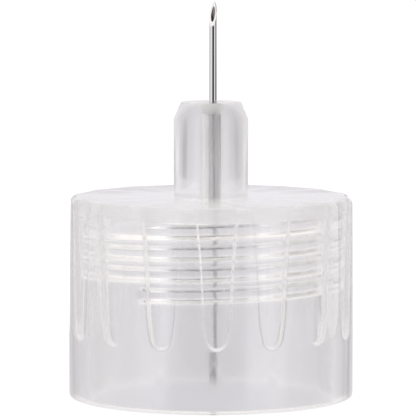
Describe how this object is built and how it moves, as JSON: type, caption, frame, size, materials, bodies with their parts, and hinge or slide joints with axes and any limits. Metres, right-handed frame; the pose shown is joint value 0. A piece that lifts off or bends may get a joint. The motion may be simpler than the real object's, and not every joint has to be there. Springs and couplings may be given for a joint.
{
  "type": "pen needle",
  "caption": "Clear fluted screw hub with an internal pen thread and a chamfered post, carrying a thin double-ended steel injection needle.",
  "frame": {"origin": "centre of the hub's rim plane at the pen end, on the hub axis", "axes": "+Z along the hub axis towards the patient point; the ground bevel of that point looks 24 degrees to the left of -Y"},
  "size_m": [0.0114, 0.0114, 0.0158],
  "materials": {
    "hub_plastic": "clear natural plastic, glossy outside, slightly hazy",
    "needle_steel": "drawn and polished stainless tube, ground points",
    "adhesive": "cured, faintly milky"
  },
  "bodies": {
    "root": {"hub": "hub_plastic", "cannula": "needle_steel", "adhesive": "adhesive"}
  },
  "joints": []
}
